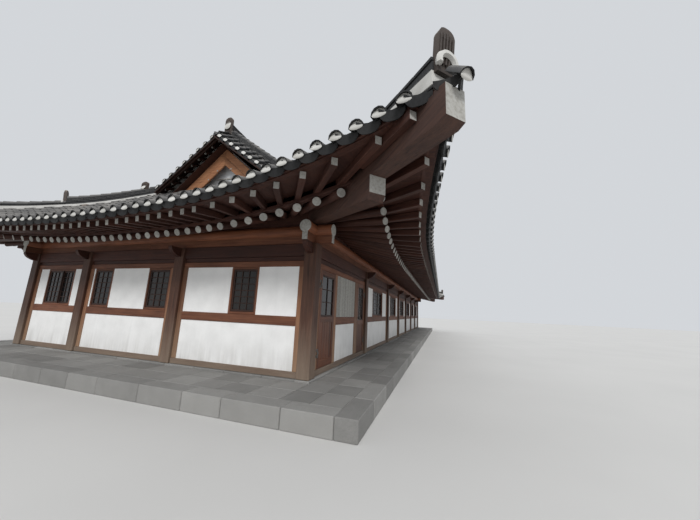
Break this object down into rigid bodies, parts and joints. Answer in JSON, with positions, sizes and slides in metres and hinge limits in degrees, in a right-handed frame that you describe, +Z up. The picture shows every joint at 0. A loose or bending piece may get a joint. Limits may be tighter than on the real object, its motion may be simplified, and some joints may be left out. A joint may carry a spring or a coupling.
{
  "type": "hanok house",
  "caption": "Single-storey timber house with a curved hip-and-gable tiled roof, plastered walls between square columns, windows on a mid rail, hinged doors and a low stone terrace.",
  "frame": {"origin": "centre of the house in plan, on the ground under the terrace", "axes": "+X along the ridge with the entrance bay at the low X end of the front, +Z up, the front facing -Y"},
  "size_m": [32.1038, 15.2038, 8.56],
  "materials": {
    "stone": "dressed granite with mortar joints, matte",
    "floor_boards": "oiled floorboards",
    "timber": "weathered red-brown oil stain",
    "dark_timber": "dark red-brown stain, satin",
    "door_timber": "red-brown stained boards, satin",
    "gable_boards": "orange-brown stained boards, weathered",
    "plaster": "white lime plaster, matte",
    "roof_tile": "dark grey fired clay, weathered, satin",
    "end_paint": "light grey paint on timber ends, matte",
    "glass": "dark window glass",
    "fitting_metal": "worn steel"
  },
  "bodies": {
    "root": {"platform": "stone", "room_floor": "floor_boards", "front_frame": "timber", "back_frame": "timber", "left_frame": "timber", "right_frame": "timber", "front_plaster": "plaster", "back_plaster": "plaster", "left_plaster": "plaster", "right_plaster": "plaster", "entrance_plaster": "plaster", "front_windows": "dark_timber", "back_windows": "dark_timber", "left_windows": "dark_timber", "right_windows": "dark_timber", "front_purlin": "timber", "back_purlin": "timber", "left_purlin": "timber", "right_purlin": "timber", "front_rafters": "timber", "back_rafters": "timber", "left_rafters": "timber", "right_rafters": "timber", "front_flying_eave": "dark_timber", "back_flying_eave": "dark_timber", "left_flying_eave": "dark_timber", "right_flying_eave": "dark_timber", "front_roof": "roof_tile", "back_roof": "roof_tile", "left_roof": "roof_tile", "right_roof": "roof_tile", "hip_rafter_1": "dark_timber", "hip_rafter_2": "dark_timber", "hip_rafter_3": "dark_timber", "hip_rafter_4": "dark_timber", "hip_ridge_1": "roof_tile", "hip_ridge_2": "roof_tile", "hip_ridge_3": "roof_tile", "hip_ridge_4": "roof_tile", "main_ridge": "roof_tile", "left_gable_wall": "plaster", "right_gable_wall": "plaster", "left_bargeboards": "gable_boards", "right_bargeboards": "gable_boards"},
    "board_door_leaf": {"board_door": "door_timber"},
    "entrance_door_leaf": {"entrance_door": "door_timber"}
  },
  "joints": [
    {"name": "board_door_hinge", "type": "hinge", "parent": "root", "child": "board_door_leaf", "pos_m": [-12.857, -4.832, 0.45], "axis": [0, 0, -1], "range_deg": [0, 90]},
    {"name": "entrance_door_hinge", "type": "hinge", "parent": "root", "child": "entrance_door_leaf", "pos_m": [-9.203, -4.832, 0.45], "axis": [0, 0, 1], "range_deg": [0, 90]}
  ]
}
